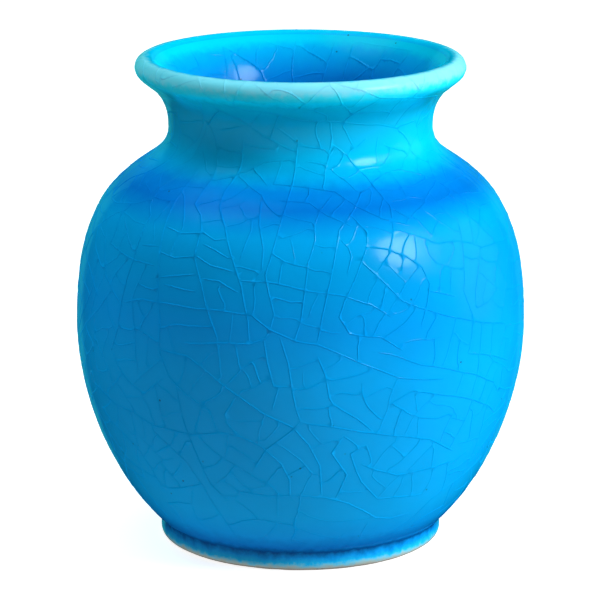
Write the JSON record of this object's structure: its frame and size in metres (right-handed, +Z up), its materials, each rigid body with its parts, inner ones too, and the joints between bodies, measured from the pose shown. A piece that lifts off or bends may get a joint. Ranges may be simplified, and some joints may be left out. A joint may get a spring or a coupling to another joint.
{
  "type": "stoneware pottery vase",
  "caption": "Round-bellied stoneware vase with a flared, rolled lip and a low foot ring, covered in crackled turquoise glaze.",
  "frame": {"origin": "on the axis at the plane the foot ring stands on", "axes": "+Z up along the vase's axis, from the foot to the lip; X and Y are free because the vase is round"},
  "size_m": [0.115, 0.115, 0.1255],
  "materials": {
    "stoneware": "matte",
    "slip": "matte",
    "turquoise_glaze": "gloss"
  },
  "bodies": {
    "root": {"clay_body": "stoneware", "clay_collar": "stoneware", "clay_foot_ring": "stoneware", "slip_collar_joint": "slip", "slip_foot_joint": "slip", "glaze_outside": "turquoise_glaze", "glaze_inside": "turquoise_glaze", "glaze_underside": "turquoise_glaze"}
  },
  "joints": []
}
